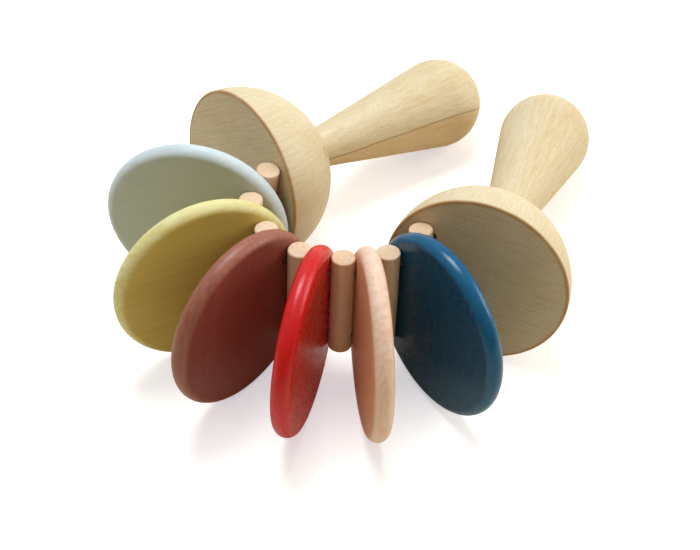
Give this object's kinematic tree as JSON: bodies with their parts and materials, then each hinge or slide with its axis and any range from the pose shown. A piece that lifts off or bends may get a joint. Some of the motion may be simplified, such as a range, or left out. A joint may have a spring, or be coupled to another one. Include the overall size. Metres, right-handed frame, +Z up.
{
  "type": "clatter rattle",
  "caption": "Wooden hand percussion rattle: painted discs between two half-ball handles, strung on two elastic cords with upright dowels as fulcrums, standing fanned out.",
  "frame": {"origin": "middle of the standing object's footprint box, on the table", "axes": "+Z up from the table; +Y away from the open side of the fan towards the ball ends of the handles; +X to the right-hand handle"},
  "size_m": [0.1622, 0.1686, 0.06],
  "materials": {
    "pale_wood": "sanded and waxed",
    "dowel_wood": "sanded",
    "plug_wood": "end grain, sanded flush",
    "mint_paint": "satin paint",
    "yellow_paint": "satin paint",
    "brown_paint": "gloss paint",
    "red_paint": "gloss paint",
    "peach_paint": "satin paint",
    "blue_paint": "gloss paint",
    "elastic": "braided"
  },
  "bodies": {
    "red_disc": {"red_disc": "red_paint", "upper_cord_red_disc": "elastic", "lower_cord_red_disc": "elastic"},
    "dowel_4": {"dowel_4": "dowel_wood", "upper_cord_dowel_4": "elastic", "lower_cord_dowel_4": "elastic"},
    "brown_disc": {"brown_disc": "brown_paint", "upper_cord_brown_disc": "elastic", "lower_cord_brown_disc": "elastic"},
    "dowel_3": {"dowel_3": "dowel_wood", "upper_cord_dowel_3": "elastic", "lower_cord_dowel_3": "elastic"},
    "yellow_disc": {"yellow_disc": "yellow_paint", "upper_cord_yellow_disc": "elastic", "lower_cord_yellow_disc": "elastic"},
    "dowel_2": {"dowel_2": "dowel_wood", "upper_cord_dowel_2": "elastic", "lower_cord_dowel_2": "elastic"},
    "mint_disc": {"mint_disc": "mint_paint", "upper_cord_mint_disc": "elastic", "lower_cord_mint_disc": "elastic"},
    "dowel_1": {"dowel_1": "dowel_wood", "upper_cord_dowel_1": "elastic", "lower_cord_dowel_1": "elastic"},
    "left_handle": {"left_head": "pale_wood", "left_stem": "pale_wood", "left_upper_plug": "plug_wood", "left_lower_plug": "plug_wood", "upper_cord_left_head": "elastic", "lower_cord_left_head": "elastic"},
    "dowel_5": {"dowel_5": "dowel_wood", "upper_cord_dowel_5": "elastic", "lower_cord_dowel_5": "elastic"},
    "peach_disc": {"peach_disc": "peach_paint", "upper_cord_peach_disc": "elastic", "lower_cord_peach_disc": "elastic"},
    "dowel_6": {"dowel_6": "dowel_wood", "upper_cord_dowel_6": "elastic", "lower_cord_dowel_6": "elastic"},
    "blue_disc": {"blue_disc": "blue_paint", "upper_cord_blue_disc": "elastic", "lower_cord_blue_disc": "elastic"},
    "dowel_7": {"dowel_7": "dowel_wood", "upper_cord_dowel_7": "elastic", "lower_cord_dowel_7": "elastic"},
    "right_handle": {"right_head": "pale_wood", "right_stem": "pale_wood", "right_upper_plug": "plug_wood", "right_lower_plug": "plug_wood", "upper_cord_right_head": "elastic", "lower_cord_right_head": "elastic"}
  },
  "joints": [
    {"name": "brown_disc_swing", "type": "hinge", "parent": "red_disc", "child": "brown_disc", "pos_m": [-0.01857, -0.03326, 0.03], "axis": [0.0397, 0.0747, 0.9964], "range_deg": [-4, 35.2]},
    {"name": "dowel_4_roll", "type": "hinge", "parent": "red_disc", "child": "dowel_4", "pos_m": [-0.01857, -0.03326, 0.03], "axis": [0.0397, 0.0747, 0.9964], "range_deg": [-2, 17.6]},
    {"name": "yellow_disc_swing", "type": "hinge", "parent": "brown_disc", "child": "yellow_disc", "pos_m": [-0.02911, -0.02436, 0.02998], "axis": [0.0508, 0.0874, 0.9949], "range_deg": [-4.4, 32.6]},
    {"name": "dowel_3_roll", "type": "hinge", "parent": "brown_disc", "child": "dowel_3", "pos_m": [-0.02911, -0.02436, 0.02998], "axis": [0.0508, 0.0874, 0.9949], "range_deg": [-2.2, 16.3]},
    {"name": "mint_disc_swing", "type": "hinge", "parent": "yellow_disc", "child": "mint_disc", "pos_m": [-0.03421, -0.01147, 0.02992], "axis": [0.0496, 0.0868, 0.995], "range_deg": [-5, 46.2]},
    {"name": "dowel_2_roll", "type": "hinge", "parent": "yellow_disc", "child": "dowel_2", "pos_m": [-0.03421, -0.01147, 0.02992], "axis": [0.0496, 0.0868, 0.995], "range_deg": [-2.5, 23.1]},
    {"name": "left_handle_swing", "type": "hinge", "parent": "mint_disc", "child": "left_handle", "pos_m": [-0.03118, 0.00206, 0.02994], "axis": [0.1661, 0.061, 0.9842], "range_deg": [-2.4, 49.8]},
    {"name": "dowel_1_roll", "type": "hinge", "parent": "mint_disc", "child": "dowel_1", "pos_m": [-0.03118, 0.00206, 0.02994], "axis": [0.1661, 0.061, 0.9842], "range_deg": [-1.2, 24.9]},
    {"name": "peach_disc_swing", "type": "hinge", "parent": "red_disc", "child": "peach_disc", "pos_m": [-0.00532, -0.03716, 0.02998], "axis": [0.0461, 0.0987, 0.994], "range_deg": [-30.6, 4.4]},
    {"name": "dowel_5_roll", "type": "hinge", "parent": "red_disc", "child": "dowel_5", "pos_m": [-0.00532, -0.03716, 0.02998], "axis": [0.0461, 0.0987, 0.994], "range_deg": [-15.3, 2.2]},
    {"name": "blue_disc_swing", "type": "hinge", "parent": "peach_disc", "child": "blue_disc", "pos_m": [0.00837, -0.03526, 0.02992], "axis": [0.0455, 0.1035, 0.9936], "range_deg": [-36.2, 4.4]},
    {"name": "dowel_6_roll", "type": "hinge", "parent": "peach_disc", "child": "dowel_6", "pos_m": [0.00837, -0.03526, 0.02992], "axis": [0.0455, 0.1035, 0.9936], "range_deg": [-18.1, 2.2]},
    {"name": "right_handle_swing", "type": "hinge", "parent": "blue_disc", "child": "right_handle", "pos_m": [0.01961, -0.02713, 0.02994], "axis": [-0.0083, 0.1831, 0.9831], "range_deg": [-45.2, 4.8]},
    {"name": "dowel_7_roll", "type": "hinge", "parent": "blue_disc", "child": "dowel_7", "pos_m": [0.01961, -0.02713, 0.02994], "axis": [-0.0083, 0.1831, 0.9831], "range_deg": [-22.6, 2.4]}
  ],
  "couplings": [
    {"joint": "dowel_4_roll", "follows": "brown_disc_swing", "ratio": 0.5},
    {"joint": "dowel_3_roll", "follows": "yellow_disc_swing", "ratio": 0.5},
    {"joint": "dowel_2_roll", "follows": "mint_disc_swing", "ratio": 0.5},
    {"joint": "dowel_1_roll", "follows": "left_handle_swing", "ratio": 0.5},
    {"joint": "dowel_5_roll", "follows": "peach_disc_swing", "ratio": 0.5},
    {"joint": "dowel_6_roll", "follows": "blue_disc_swing", "ratio": 0.5},
    {"joint": "dowel_7_roll", "follows": "right_handle_swing", "ratio": 0.5}
  ]
}
